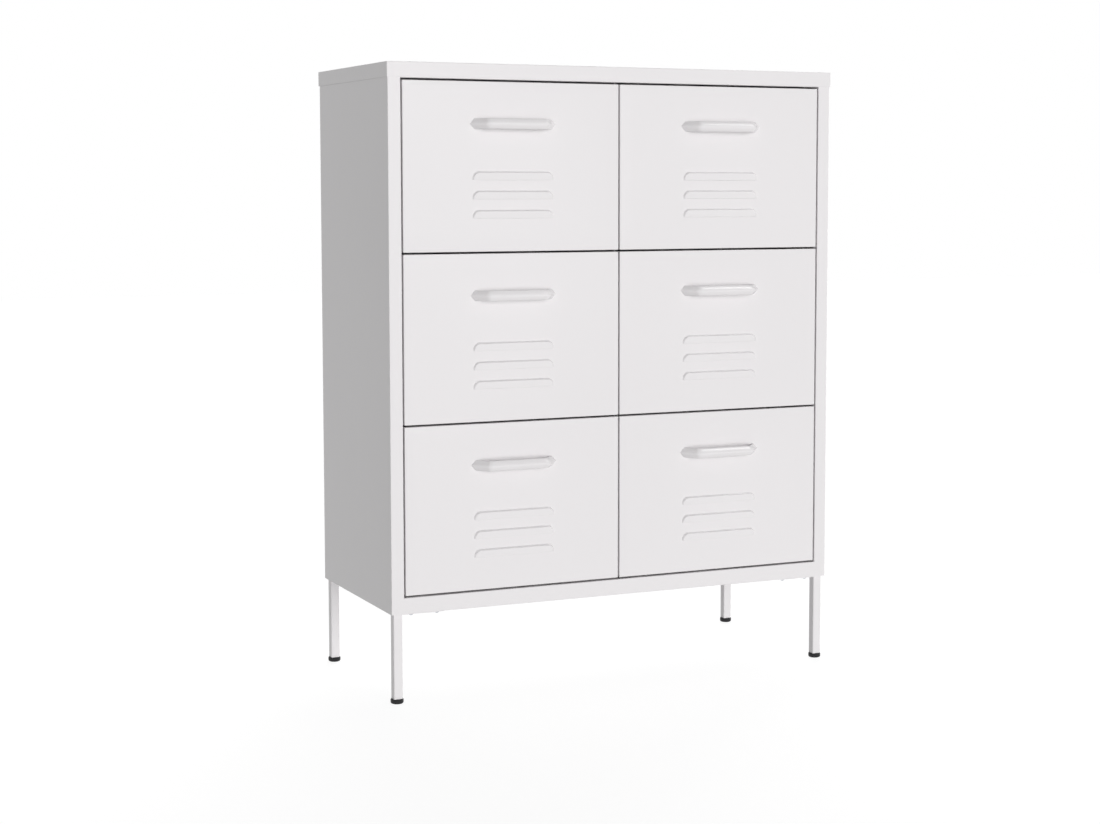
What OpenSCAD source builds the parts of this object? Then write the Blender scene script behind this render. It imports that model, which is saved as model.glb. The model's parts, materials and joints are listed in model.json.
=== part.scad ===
// Small metal drawer cabinet: two columns of three drawers in a folded sheet-steel
// carcass on four thin legs. Millimetres, +Z up, drawers open towards -Y. The origin
// lies on the floor under the middle of the whole object, handles included.

/* [Cabinet] */
// Overall width, over the lid
cabinet_w = 800; // [760:10:840]
// Overall depth over the lid, without the handles
cabinet_d = 350; // [345:5:380]
// Overall height, floor to the top of the lid
cabinet_h = 1015; // [970:5:1060]
// Height of the lid's skirt
lid_h = 24; // [20:1:30]
// How far the lid stands out past the carcass
lid_overhang = 1.5; // [1.2:0.1:2.5]
// Thickness of the sheet steel
sheet_t = 0.8; // [0.7:0.05:0.9]
// Outside radius of a fold in the sheet
fold_r = 1.2; // [1.1:0.1:1.6]
// Width of the stile beside the drawers
stile_w = 21.3; // [18:0.1:26]
// Height of the rail under the drawers
rail_h = 26; // [22:1:32]
// Depth of the rails' flanges, front to back
rail_flange_d = 17; // [16.5:0.5:20]

/* [Legs] */
// Height of the carcass's underside above the floor
leg_h = 145; // [120:5:170]
// Side of the square leg tube
leg_w = 15; // [14:1:18]
// Wall of the leg tube
leg_wall = 1.2; // [1:0.1:1.5]
// Outside corner radius of the leg tube
leg_corner_r = 2; // [1.6:0.1:2.5]
// How far a leg stands in from the lid's outline
leg_inset = 6; // [5:0.5:9]
// Thickness of a leg's mounting plate
leg_plate_t = 1.5; // [1.5:0.5:3]
// Length of each arm of the mounting plate
leg_plate_l = 85; // [80:1:95]
// Width of each arm of the mounting plate
leg_plate_w = 20; // [18:1:24]
// Diameter of a foot glide
foot_d = 21; // [18:1:24]
// Height of a foot glide below the tube
foot_h = 8; // [6:0.5:9]

/* [Drawers] */
// Gap beside a drawer front
gap_x = 2.6; // [1.5:0.1:3]
// Gap above and below a drawer front
gap_z = 3; // [2:0.1:3.2]
// Depth of a drawer front, front to back
front_depth = 15; // [13:0.5:16]
// Width of the lips turned in behind a drawer front
front_lip_w = 24; // [22:1:28]
// Length of the drawer tray, front to back
tray_d = 305; // [300:1:306]
// Height of the drawer tray
tray_h = 180; // [150:5:185]
// Height of the tray's underside above the bottom of its front
tray_lift = 16; // [12:1:18]
// Travel of a drawer
drawer_travel = 220; // [180:5:220]

/* [Handles] */
// Length over the ends of a handle
handle_len = 148; // [144:1:152]
// Length of its straight bar, between the bends' outer corners
handle_bar_len = 104; // [98:1:108]
// Height of the handle's bar
handle_w = 16.5; // [15:0.5:18]
// Thickness of the bar at its crown
handle_t = 8; // [7:0.5:9]
// How far the bar stands out from the drawer front
handle_reach = 27; // [25:1:32]
// Radius of the crowned outer face
handle_crown_r = 9; // [9:0.5:16]
// Radius of each bend, at the middle of the bar
handle_bend_r = 10; // [9:1:12]
// Distance between the two screws
handle_pitch = 128; // [126:1:130]
// Distance of the handle's middle below the top of its drawer front
handle_drop = 66.7; // [60:0.1:72]

/* [Louvres] */
// Louvres on each drawer front
louvres = 3; // [1:1:3]
// Length of a louvre
louvre_w = 141; // [120:1:160]
// Height of a louvre
louvre_h = 14; // [13.5:0.5:16]
// Radius of its upper corners
louvre_corner_r = 12; // [9:0.5:13]
// How far a louvre stands out
louvre_depth = 4.5; // [4:0.1:5.5]
// Radius along a louvre's edge
louvre_edge_r = 3; // [2.4:0.1:3.5]
// Distance from one louvre to the next
louvre_pitch = 30.5; // [24:0.5:34]
// Distance of the first louvre's top below the top of its drawer front
louvre_drop = 141.2; // [120:0.1:142]

/* [Slides] */
// Length of a drawer slide
slide_len = 300; // [298:1:300]
// Thickness of a drawer slide
slide_t = 12.7; // [12.7:0.1:13]
// Wall of the slide members
slide_wall = 1.05; // [1:0.05:1.1]
// Radius of a bearing ball
ball_r = 2.35; // [2.2:0.05:2.35]
// Radius of the races that the balls run in
race_r = 2.65; // [2.65:0.05:2.7]
// Height of the ball rows above and below the middle of the slide
ball_z = 13.6; // [13:0.1:15]
// Length of a ball cage
cage_len = 70; // [60:1:74]
// Balls in each row of a cage
cage_balls = 5; // [3:1:6]

/* [Hidden] */
$fn = 48;
ROWS = ["top", "middle", "bottom"];
COLUMNS = ["left", "right"];
DRAWERS = [for (row = ROWS, column = COLUMNS) str(row, "_", column)];

POWDER_COAT = [0.92, 0.91, 0.92];
ZINC = [0.74, 0.75, 0.77];
GLIDE = [0.1, 0.1, 0.1];

// Planes of the carcass
back_y = (cabinet_d + handle_reach - lid_overhang) / 2 - lid_overhang;
front_y = back_y - cabinet_d + 2 * lid_overhang;
side_x = cabinet_w / 2 - lid_overhang;
lid_middle_y = (front_y + back_y) / 2;
shell_back_y = back_y - sheet_t;
top_z = cabinet_h - sheet_t;
opening_x = side_x - stile_w;
notch_x = opening_x + fold_r;
lid_clearance = 1;
opening_z0 = leg_h + rail_h;
opening_z1 = cabinet_h - lid_h - lid_clearance;

// Folds: half the sheet, and the fold's radius at the middle of the sheet
half_t = sheet_t / 2;
mid_r = fold_r - half_t;
front_return_d = 36;
rear_return_d = 50;
side_flange_h = 12;
rear_flange_w = 15;
bend_relief = 1;

// Legs and their fixings
leg_x = cabinet_w / 2 - leg_inset - leg_w / 2;
leg_front_y = front_y - lid_overhang + leg_inset + leg_w / 2;
leg_rear_y = back_y + lid_overhang - leg_inset - leg_w / 2;
plate_screw_inset = 5.2;
plate_screws = [31, 75];
screw_r = 2;
screw_hole_r = 2.2;
leg_head_r = 4.2;
leg_head_h = 2.8;
leg_screw_l = 6;
plug_h = 12;
plug_gap = 0.1;
sole_r = 3;
rim_r = 2;

// Back panel's screws and the two holes for wall anchors
back_head_h = 1.4;
back_screw_l = 5;
back_screw_rows = 5;
back_screw_margin = 30;
anchor_hole_r = 3;
anchor_pitch = 700;
anchor_drop = 45;
anchor_z = cabinet_h - anchor_drop;

// Drawer fronts
row_pitch = (opening_z1 - opening_z0 - gap_z) / len(ROWS);
front_h = row_pitch - gap_z;
front_w = opening_x - 1.5 * gap_x;
front_x = gap_x / 2 + front_w / 2;

// Slides and trays
bay_x0 = half_t;
tray_w = opening_x - bay_x0 - 2 * slide_t;
tray_x = (opening_x + bay_x0) / 2;
tray_y0 = front_y + front_depth;
tray_rim_w = 8;
tray_rim_h = 5;
slide_y0 = front_y + rail_flange_d;
slide_lift = 45;
slide_z = tray_lift + slide_lift;
ball_x = slide_t / 2;
cage_t = 0.6;
cage_web_x = 1.5;
cage_arm_w = 7;
cage_arm_gap = 0.3;
cage_y0 = slide_y0 + (slide_len - cage_len) / 2;

// Stops that a cage meets at both ends when its drawer is fully out
stop_gap = 0.3;
stop_t = 1.5;
stop_h = 12;
stop_y = (slide_len - cage_len - drawer_travel) / 2 - stop_gap;
stop_reach = 4.5;

// Handle: the turn of each bend, and the bend's centre
handle_turn = atan2(handle_reach, (handle_len - handle_bar_len) / 2);
handle_bend_x = handle_bar_len / 2 - (handle_t / 2 + handle_bend_r) * tan(handle_turn / 2);
handle_bend_y = handle_reach - handle_t / 2 - handle_bend_r;
handle_leg_l = handle_reach / sin(handle_turn) + handle_t;
handle_edge_r = 2.4;
handle_lap = 0.5;
handle_boss_r = 7.2;
handle_boss_h = 18;
handle_bore_r = 2.05;
handle_bore_l = 7.5;
handle_screw_l = 7;
handle_head_r = 4;
handle_head_h = 2.4;
handle_z = front_h - handle_drop;

// Screws that hold a tray to the lips of its front
tray_screw_x = tray_w / 2 - 6;
tray_screw_margin = 15;
tray_screw_z = [tray_lift + tray_screw_margin, tray_lift + tray_h - tray_screw_margin];
tray_screw_l = 5;

// Radius of a pan head's dome, in radii of the head, and by how much a cutter passes what it cuts
head_dome = 1.25;
cut = 1;

// ---- shapes used by several pieces ----

function unit(v) = v / norm(v);
function heading(v) = atan2(v.y, v.x);

// Rectangle with rounded corners, centred
module round_rect(w, h, r) {
    square([w - 2 * r, h], center = true);
    square([w, h - 2 * r], center = true);
    for (x = [-1, 1], y = [-1, 1]) {
        translate([x * (w / 2 - r), y * (h / 2 - r)]) circle(r);
    }
}

// Block with every edge rounded, centred
module round_block(size, r) {
    intersection() {
        linear_extrude(size.z, center = true) round_rect(size.x, size.y, r);
        rotate([90, 0, 0]) linear_extrude(size.y, center = true) round_rect(size.x, size.z, r);
        rotate([90, 0, 90]) linear_extrude(size.x, center = true) round_rect(size.y, size.z, r);
    }
}

// Closed sheet-steel box, centred: pans are cut from it
module hollow_block(size) {
    difference() {
        round_block(size, fold_r);
        round_block(size - 2 * sheet_t * [1, 1, 1], fold_r - sheet_t);
    }
}

// Quarter of a ring in the first quadrant
module quarter_ring(outer, inner) {
    intersection() {
        difference() {
            circle(outer);
            circle(inner);
        }
        square(outer);
    }
}

// Edge-on view of a sheet folded at right angles along a path through its middle
module folded_sheet(path) {
    last = len(path) - 1;
    for (i = [1:last]) {
        run = path[i] - path[i - 1];
        start = i > 1 ? mid_r : 0;
        end = i < last ? mid_r : 0;
        translate(path[i - 1] + start * unit(run)) rotate(heading(run))
            translate([0, -half_t]) square([norm(run) - start - end, sheet_t]);
    }
    for (i = [1:last - 1]) {
        into = unit(path[i] - path[i - 1]);
        away = unit(path[i + 1] - path[i]);
        turns_left = cross(into, away) > 0;
        translate(path[i] - mid_r * into + mid_r * away)
            rotate(turns_left ? heading(-away) : heading(into))
                quarter_ring(mid_r + half_t, mid_r - half_t);
    }
}

// A sheet profile drawn in X and Z, extruded along Y
module along_y(y0, y1) {
    translate([0, y1, 0]) rotate([90, 0, 0]) linear_extrude(y1 - y0) children();
}

// A sheet profile drawn in Y and Z, extruded along X to both sides of the middle
module along_x(length) {
    rotate([90, 0, 90]) linear_extrude(length, center = true) children();
}

// Pan-head screw: underside of the head at z = 0, head up, shank down
module pan_screw(head_r, head_h, shank_l) {
    rotate_extrude() intersection() {
        square([head_r, head_h]);
        translate([0, head_h - head_dome * head_r]) circle(head_dome * head_r);
    }
    translate([0, 0, -shank_l]) cylinder(r = screw_r, h = shank_l);
}

// ---- carcass ----

module lid() {
    color(POWDER_COAT) translate([0, lid_middle_y, cabinet_h - lid_h]) difference() {
        hollow_block([cabinet_w, cabinet_d, 2 * lid_h]);
        translate([0, 0, -lid_h]) cube([2 * cabinet_w, 2 * cabinet_d, 2 * lid_h], center = true);
    }
}

// Right-hand side panel: wall, stile, rear flange, top flange and the two return lips
module side_panel() {
    wall_x = side_x - half_t;
    stile_y = front_y + half_t;
    rear_y = shell_back_y - half_t;
    lip_x = opening_x + half_t;
    color(POWDER_COAT) difference() {
        union() {
            translate([0, 0, leg_h]) linear_extrude(top_z - fold_r - leg_h)
                folded_sheet([[notch_x, stile_y], [wall_x, stile_y], [wall_x, rear_y], [notch_x, rear_y]]);
            translate([0, 0, opening_z0]) linear_extrude(opening_z1 - opening_z0) {
                folded_sheet([[notch_x + bend_relief, stile_y], [lip_x, stile_y],
                              [lip_x, front_y + front_return_d]]);
                folded_sheet([[notch_x + bend_relief, rear_y], [lip_x, rear_y],
                              [lip_x, shell_back_y - rear_return_d]]);
            }
            along_y(front_y + fold_r + bend_relief, shell_back_y - fold_r - bend_relief)
                folded_sheet([[wall_x, top_z - 2 * fold_r], [wall_x, top_z - half_t],
                              [notch_x, top_z - half_t]]);
        }
        at_back_screws() back_screw_hole();
    }
}

module side_panel_right() {
    side_panel();
}

module side_panel_left() {
    mirror([1, 0, 0]) side_panel();
}

// Bottom with the front rail and rear flange folded up from it
module bottom_panel() {
    floor_z = leg_h + half_t;
    color(POWDER_COAT) difference() {
        union() {
            along_x(2 * notch_x) folded_sheet([
                [front_y + rail_flange_d, opening_z0 - half_t], [front_y + half_t, opening_z0 - half_t],
                [front_y + half_t, floor_z], [shell_back_y - half_t, floor_z],
                [shell_back_y - half_t, opening_z0]]);
            for (side = [0, 1]) mirror([side, 0, 0])
                along_y(front_y + sheet_t + bend_relief, shell_back_y - sheet_t - bend_relief)
                    folded_sheet([[notch_x - bend_relief, floor_z], [side_x - sheet_t - half_t, floor_z],
                                  [side_x - sheet_t - half_t, leg_h + side_flange_h]]);
        }
        at_leg_screws() cylinder(r = screw_hole_r, h = 4 * leg_plate_t, center = true);
    }
}

module top_front_rail() {
    color(POWDER_COAT) along_x(2 * notch_x) folded_sheet([
        [front_y + rail_flange_d, opening_z1 + half_t], [front_y + half_t, opening_z1 + half_t],
        [front_y + half_t, top_z - half_t], [front_y + rail_flange_d, top_z - half_t]]);
}

// Upright between the columns, flanged at the top, at the bottom and at the rear
module centre_divider() {
    foot_z = leg_h + sheet_t + half_t;
    head_z = top_z - half_t;
    color(POWDER_COAT) difference() {
        union() {
            along_y(front_y + rail_flange_d, shell_back_y - fold_r)
                folded_sheet([[rear_flange_w, foot_z], [0, foot_z], [0, head_z], [rear_flange_w, head_z]]);
            translate([0, 0, opening_z0]) linear_extrude(opening_z1 - opening_z0)
                folded_sheet([[0, shell_back_y - rear_flange_w], [0, shell_back_y - half_t],
                              [rear_flange_w, shell_back_y - half_t]]);
        }
        at_back_screws() back_screw_hole();
    }
}

// Both edges of the back panel and its middle are screwed to the flanges behind it
module at_back_screws() {
    rise = (opening_z1 - opening_z0 - 2 * back_screw_margin) / (back_screw_rows - 1);
    for (i = [0:back_screw_rows - 1], x = [-side_x + stile_w / 2, rear_flange_w / 2, side_x - stile_w / 2]) {
        translate([x, back_y, opening_z0 + back_screw_margin + i * rise]) rotate([-90, 0, 0]) children();
    }
}

// Hole for a back screw, through the panel and the flange in front of it
module back_screw_hole() {
    cylinder(r = screw_hole_r, h = 6 * sheet_t, center = true);
}

module back_panel() {
    margin = 0.5;
    color(POWDER_COAT) difference() {
        translate([margin - side_x, shell_back_y, leg_h + margin])
            cube([2 * (side_x - margin), sheet_t, top_z - leg_h - 2 * margin]);
        at_back_screws() back_screw_hole();
        for (side = [-1, 1]) translate([side * anchor_pitch / 2, back_y, anchor_z]) rotate([-90, 0, 0])
            cylinder(r = anchor_hole_r, h = 4 * sheet_t, center = true);
    }
}

module back_screws() {
    color(ZINC) at_back_screws() pan_screw(leg_head_r, back_head_h, back_screw_l);
}

// ---- legs ----

// L-shaped plate seen from above, its outer corner at the outer corner of the tube
module leg_plate_outline() {
    corner = leg_w / 2;
    translate([corner - leg_plate_l, corner - leg_plate_w]) square([leg_plate_l, leg_plate_w]);
    translate([corner - leg_plate_w, corner - leg_plate_l]) square([leg_plate_w, leg_plate_l]);
}

// The four screws of one plate, from the middle of the leg
module at_plate_screws() {
    edge = leg_w / 2 - plate_screw_inset;
    for (reach = plate_screws) {
        translate([leg_w / 2 - reach, edge, 0]) children();
        translate([edge, leg_w / 2 - reach, 0]) children();
    }
}

// Places one leg's pieces, drawn for the right rear corner
module at_leg(right, rear) {
    translate([right ? leg_x : -leg_x, rear ? leg_rear_y : leg_front_y, 0])
        mirror([right ? 0 : 1, 0, 0]) mirror([0, rear ? 0 : 1, 0]) children();
}

module at_leg_screws() {
    for (right = [false, true], rear = [false, true]) {
        at_leg(right, rear) translate([0, 0, leg_h - leg_plate_t]) at_plate_screws() children();
    }
}

module leg(right, rear) {
    tube_l = leg_h - leg_plate_t - foot_h;
    color(POWDER_COAT) at_leg(right, rear) {
        translate([0, 0, foot_h]) linear_extrude(tube_l) difference() {
            round_rect(leg_w, leg_w, leg_corner_r);
            round_rect(leg_w - 2 * leg_wall, leg_w - 2 * leg_wall, leg_corner_r - leg_wall);
        }
        translate([0, 0, leg_h - leg_plate_t]) difference() {
            linear_extrude(leg_plate_t) leg_plate_outline();
            at_plate_screws() cylinder(r = screw_hole_r, h = 4 * leg_plate_t, center = true);
        }
    }
}

// Round glide with a square plug that sits in the tube
module foot(right, rear) {
    plug_w = leg_w - 2 * leg_wall - plug_gap;
    color(GLIDE) at_leg(right, rear) {
        rotate_extrude() {
            square([foot_d / 2 - sole_r, foot_h]);
            translate([0, sole_r]) square([foot_d / 2 - rim_r, foot_h - sole_r]);
            translate([0, sole_r]) square([foot_d / 2, foot_h - sole_r - rim_r]);
            translate([foot_d / 2 - sole_r, sole_r]) circle(sole_r);
            translate([foot_d / 2 - rim_r, foot_h - rim_r]) circle(rim_r);
        }
        linear_extrude(foot_h + plug_h) round_rect(plug_w, plug_w, leg_corner_r - leg_wall);
    }
}

module leg_screws() {
    color(ZINC) at_leg_screws() mirror([0, 0, 1]) pan_screw(leg_head_r, leg_head_h, leg_screw_l);
}

// ---- drawers: X from the cabinet's middle, Z from the bottom of the drawer front ----

// Places one drawer's piece, drawn for the right-hand column
module at_bay(row, column) {
    z = opening_z1 - (row + 1) * row_pitch;
    translate([0, 0, z]) {
        if (column == 0) mirror([1, 0, 0]) children();
        else children();
    }
}

// Region of a louvre seen from the front, flat bottom and two rounded upper corners
module louvre_outline(w, h, r, drop) {
    intersection() {
        union() {
            translate([-w / 2, -drop]) square([w, h - r + drop]);
            translate([r - w / 2, -drop]) square([w - 2 * r, h + drop]);
            for (x = [-1, 1]) translate([x * (w / 2 - r), h - r]) circle(r);
        }
        translate([-w / 2, -drop]) square([w, h + drop]);
    }
}

// Section across a louvre's edge: a quarter round on a short straight rise
module louvre_edge(depth, r) {
    square([r, depth - r]);
    intersection() {
        translate([0, depth - r]) circle(r);
        translate([0, depth - r]) square(r);
    }
}

// Pressed louvre as a solid, open side at the bottom, standing out from z = 0
module louvre_form(w, h, corner_r, depth, edge_r, drop) {
    linear_extrude(depth) louvre_outline(w - 2 * edge_r, h - edge_r, corner_r - edge_r, drop);
    translate([corner_r - w / 2, h - edge_r, 0]) rotate([90, 0, 90])
        linear_extrude(w - 2 * corner_r) louvre_edge(depth, edge_r);
    for (side = [0, 1]) mirror([side, 0, 0]) {
        translate([w / 2 - corner_r, h - corner_r, 0]) rotate_extrude(angle = 90)
            translate([corner_r - edge_r, 0]) louvre_edge(depth, edge_r);
        translate([w / 2 - edge_r, h - corner_r, 0]) rotate([90, 0, 0])
            linear_extrude(h - corner_r + drop) louvre_edge(depth, edge_r);
    }
}

module at_louvres() {
    for (i = [0:louvres - 1]) {
        translate([front_x, front_y, front_h - louvre_drop - louvre_h - i * louvre_pitch])
            rotate([90, 0, 0]) children();
    }
}

module at_handle_screws() {
    for (side = [-1, 1]) {
        translate([front_x + side * handle_pitch / 2, front_y, handle_z]) rotate([-90, 0, 0]) children();
    }
}

module at_tray_screws() {
    for (side = [-1, 1], z = tray_screw_z) {
        translate([tray_x + side * tray_screw_x, tray_y0, z]) rotate([-90, 0, 0]) children();
    }
}

// Folded steel front with lips turned in behind, pressed louvres and screw holes
module drawer_front() {
    slot_drop = 0.4;
    color(POWDER_COAT) difference() {
        union() {
            translate([front_x, front_y + front_depth / 2, front_h / 2]) difference() {
                hollow_block([front_w, front_depth, front_h]);
                translate([0, front_depth / 2, 0])
                    cube([front_w - 2 * front_lip_w, front_depth, front_h - 2 * front_lip_w], center = true);
            }
            at_louvres() louvre_form(louvre_w, louvre_h, louvre_corner_r, louvre_depth, louvre_edge_r, 0);
        }
        at_louvres() translate([0, 0, -2 * sheet_t])
            louvre_form(louvre_w - 2 * sheet_t, louvre_h - sheet_t, louvre_corner_r - sheet_t,
                        louvre_depth + sheet_t, louvre_edge_r - sheet_t, slot_drop);
        at_handle_screws() cylinder(r = screw_hole_r, h = 4 * sheet_t, center = true);
        at_tray_screws() cylinder(r = screw_hole_r, h = 4 * sheet_t, center = true);
    }
}

// Folded tray with its rim turned in and down
module drawer_tray() {
    rim_inner = [tray_w - 2 * tray_rim_w, tray_d - 2 * tray_rim_w];
    color(POWDER_COAT) difference() {
        translate([tray_x, tray_y0 + tray_d / 2, tray_lift]) {
            translate([0, 0, tray_h / 2]) difference() {
                hollow_block([tray_w, tray_d, tray_h]);
                linear_extrude(tray_h) square(rim_inner, center = true);
            }
            translate([0, 0, tray_h - tray_rim_h]) linear_extrude(tray_rim_h) difference() {
                square(rim_inner + 2 * [sheet_t, sheet_t], center = true);
                square(rim_inner, center = true);
            }
        }
        at_tray_screws() cylinder(r = screw_hole_r, h = 4 * sheet_t, center = true);
    }
}

// Section of the handle's bar: flat back, crowned outer face. X is depth, Y is height
module handle_section() {
    intersection() {
        translate([handle_t / 2, 0]) round_rect(handle_t, handle_w, handle_edge_r);
        translate([handle_t - handle_crown_r, 0]) circle(handle_crown_r);
    }
}

// Straight run of the bar beside a bend's centre, towards +X, lapping into the bend
module handle_run(length) {
    translate([-handle_lap, 0, 0]) rotate([90, 0, 90]) linear_extrude(length + handle_lap)
        translate([handle_bend_r - handle_t / 2, 0]) handle_section();
}

// Bow handle standing out along +Y from the drawer front at y = 0
module handle_form() {
    end_x = (handle_len - handle_w) / 2;
    difference() {
        for (side = [0, 1]) mirror([side, 0, 0]) {
            translate([handle_bend_x, handle_bend_y, 0]) {
                mirror([1, 0, 0]) handle_run(handle_bend_x);
                rotate([0, 0, 90 - handle_turn]) rotate_extrude(angle = handle_turn)
                    translate([handle_bend_r - handle_t / 2, 0]) handle_section();
                rotate([0, 0, -handle_turn]) handle_run(handle_leg_l);
            }
            handle_boss();
        }
        translate([-handle_len, -handle_len, -handle_w]) cube([2 * handle_len, handle_len, 2 * handle_w]);
        for (side = [0, 1]) mirror([side, 0, 0]) {
            difference() {
                translate([end_x, -cut, -handle_w]) cube([handle_w, handle_reach, 2 * handle_w]);
                translate([end_x, -2 * cut, 0]) rotate([-90, 0, 0])
                    cylinder(r = handle_w / 2, h = handle_reach + 2 * cut);
            }
            translate([handle_pitch / 2, -cut, 0]) rotate([-90, 0, 0])
                cylinder(r = handle_bore_r, h = handle_bore_l + cut);
        }
    }
}

// Boss for a screw, under the sloping end of the bar
module handle_boss() {
    foot_x = handle_len / 2 - handle_t / 2 / sin(handle_turn);
    lean_x = handle_boss_h / tan(handle_turn);
    intersection() {
        translate([handle_pitch / 2, 0, 0]) rotate([-90, 0, 0])
            cylinder(r = handle_boss_r, h = handle_boss_h);
        translate([0, 0, -handle_w / 2]) linear_extrude(handle_w)
            polygon([[0, 0], [foot_x, 0], [foot_x - lean_x, handle_boss_h], [0, handle_boss_h]]);
    }
}

module drawer_handle() {
    color(POWDER_COAT) translate([front_x, front_y, handle_z]) rotate([0, 0, 180]) handle_form();
}

// The two handle screws and the four that hold the tray to its front
module drawer_screws() {
    color(ZINC) {
        at_handle_screws() translate([0, 0, sheet_t])
            pan_screw(handle_head_r, handle_head_h, handle_screw_l);
        at_tray_screws() translate([0, 0, sheet_t])
            pan_screw(handle_head_r, handle_head_h, tray_screw_l);
    }
}

// ---- slides: section drawn with X from the fixed wall, Z from the middle ----

// Mirrors its children about the middle of the slide
module both_rows() {
    children();
    mirror([0, 1]) children();
}

// Fixed member: a web on the wall and two lips curled over the balls
module cabinet_member() {
    half_h = ball_z + race_r + slide_wall;
    translate([0, -half_h]) square([slide_wall, 2 * half_h]);
    both_rows() {
        translate([0, ball_z + race_r]) square([ball_x, slide_wall]);
        translate([ball_x, ball_z]) quarter_ring(race_r + slide_wall, race_r);
    }
}

// Moving member: a web on the tray and two lips curled under the balls
module drawer_member() {
    half_h = ball_z - race_r;
    translate([slide_t - slide_wall, -half_h]) square([slide_wall, 2 * half_h]);
    both_rows() {
        translate([ball_x, half_h - slide_wall]) square([slide_t - ball_x, slide_wall]);
        translate([ball_x, ball_z]) rotate(180) quarter_ring(race_r + slide_wall, race_r);
    }
}

// Ball retainer, bent round the moving member
module cage_strip() {
    half_h = ball_z + cage_arm_gap + cage_t;
    translate([cage_web_x, -half_h]) square([cage_t, 2 * half_h]);
    both_rows() translate([cage_web_x, ball_z + cage_arm_gap]) square([cage_arm_w, cage_t]);
}

// Both slides of a drawer: one on the divider, its mirror image on the side panel
module slide_pair(y0, length) {
    translate([0, 0, slide_z]) {
        translate([bay_x0, 0, 0]) along_y(y0, y0 + length) children();
        translate([opening_x, 0, 0]) mirror([1, 0, 0]) along_y(y0, y0 + length) children();
    }
}

// Stop bent up from a member's web, as a plain tab from x0 to x1
module stop_tab(x0, x1) {
    translate([x0, -stop_h / 2]) square([x1 - x0, stop_h]);
}

module cabinet_slides() {
    color(ZINC) {
        slide_pair(slide_y0, slide_len) cabinet_member();
        slide_pair(slide_y0 + stop_y - stop_t, stop_t) stop_tab(slide_wall / 2, stop_reach);
    }
}

module drawer_slides() {
    color(ZINC) {
        slide_pair(slide_y0, slide_len) drawer_member();
        slide_pair(slide_y0 + slide_len - stop_y, stop_t)
            stop_tab(cage_web_x, slide_t - slide_wall / 2);
    }
}

module cage_balls() {
    step = cage_len / cage_balls;
    for (row = [-1, 1], i = [0:cage_balls - 1]) {
        translate([ball_x, cage_y0 + (i + 0.5) * step, row * ball_z]) sphere(ball_r);
    }
}

module ball_cages() {
    color(ZINC) {
        slide_pair(cage_y0, cage_len) cage_strip();
        translate([bay_x0, 0, slide_z]) cage_balls();
        translate([opening_x, 0, slide_z]) mirror([1, 0, 0]) cage_balls();
    }
}

// ---- nodes ----

lid();
side_panel_left();
side_panel_right();
back_panel();
bottom_panel();
top_front_rail();
centre_divider();
leg_screws();
back_screws();
leg(false, false);  // leg_front_left
leg(true, false);  // leg_front_right
leg(false, true);  // leg_rear_left
leg(true, true);  // leg_rear_right
foot(false, false);  // foot_front_left
foot(true, false);  // foot_front_right
foot(false, true);  // foot_rear_left
foot(true, true);  // foot_rear_right
for (row = [0:len(ROWS) - 1], column = [0:len(COLUMNS) - 1]) {
    drawer = str(ROWS[row], "_", COLUMNS[column]);
    at_bay(row, column) drawer_front();
    at_bay(row, column) drawer_tray();
    at_bay(row, column) drawer_handle();
    at_bay(row, column) drawer_screws();
    at_bay(row, column) drawer_slides();
    at_bay(row, column) ball_cages();
    at_bay(row, column) cabinet_slides();
}
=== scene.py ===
"""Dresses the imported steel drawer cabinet.

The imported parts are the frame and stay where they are. Here they get powder coat, zinc plate,
bearing steel and moulded plastic, and four kinds of piece are made again as computed surfaces:
the drawer fronts with their pressed louvres, the bow handles, the glides and the screws.
Lengths are in metres, +Z is up and the drawers open towards -Y.
"""

import json
import math

import bpy
import numpy as np
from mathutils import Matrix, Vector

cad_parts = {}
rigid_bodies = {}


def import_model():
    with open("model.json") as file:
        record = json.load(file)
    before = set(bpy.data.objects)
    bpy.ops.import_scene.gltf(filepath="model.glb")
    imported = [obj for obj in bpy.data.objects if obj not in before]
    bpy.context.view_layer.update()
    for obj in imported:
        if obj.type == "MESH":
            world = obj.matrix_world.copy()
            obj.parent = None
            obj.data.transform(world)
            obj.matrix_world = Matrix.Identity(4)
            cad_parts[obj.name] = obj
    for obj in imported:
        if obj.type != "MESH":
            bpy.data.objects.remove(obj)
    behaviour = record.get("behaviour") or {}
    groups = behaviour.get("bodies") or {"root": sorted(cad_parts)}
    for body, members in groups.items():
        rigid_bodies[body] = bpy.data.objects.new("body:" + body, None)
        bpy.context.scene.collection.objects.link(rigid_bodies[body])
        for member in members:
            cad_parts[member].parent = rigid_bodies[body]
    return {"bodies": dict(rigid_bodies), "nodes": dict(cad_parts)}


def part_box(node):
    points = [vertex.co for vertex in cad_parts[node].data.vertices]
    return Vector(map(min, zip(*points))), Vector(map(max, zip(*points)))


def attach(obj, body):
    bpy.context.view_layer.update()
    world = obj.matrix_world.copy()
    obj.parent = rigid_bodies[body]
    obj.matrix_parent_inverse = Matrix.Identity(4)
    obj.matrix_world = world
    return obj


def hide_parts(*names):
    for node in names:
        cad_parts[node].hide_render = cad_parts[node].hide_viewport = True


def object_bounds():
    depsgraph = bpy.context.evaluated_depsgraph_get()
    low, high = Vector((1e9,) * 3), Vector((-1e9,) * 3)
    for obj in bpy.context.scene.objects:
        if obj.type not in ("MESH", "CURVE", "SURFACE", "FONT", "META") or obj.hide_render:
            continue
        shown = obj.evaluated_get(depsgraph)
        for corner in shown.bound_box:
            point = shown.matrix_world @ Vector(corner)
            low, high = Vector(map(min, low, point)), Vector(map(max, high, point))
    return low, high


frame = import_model()
CAD_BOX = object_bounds()

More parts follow.
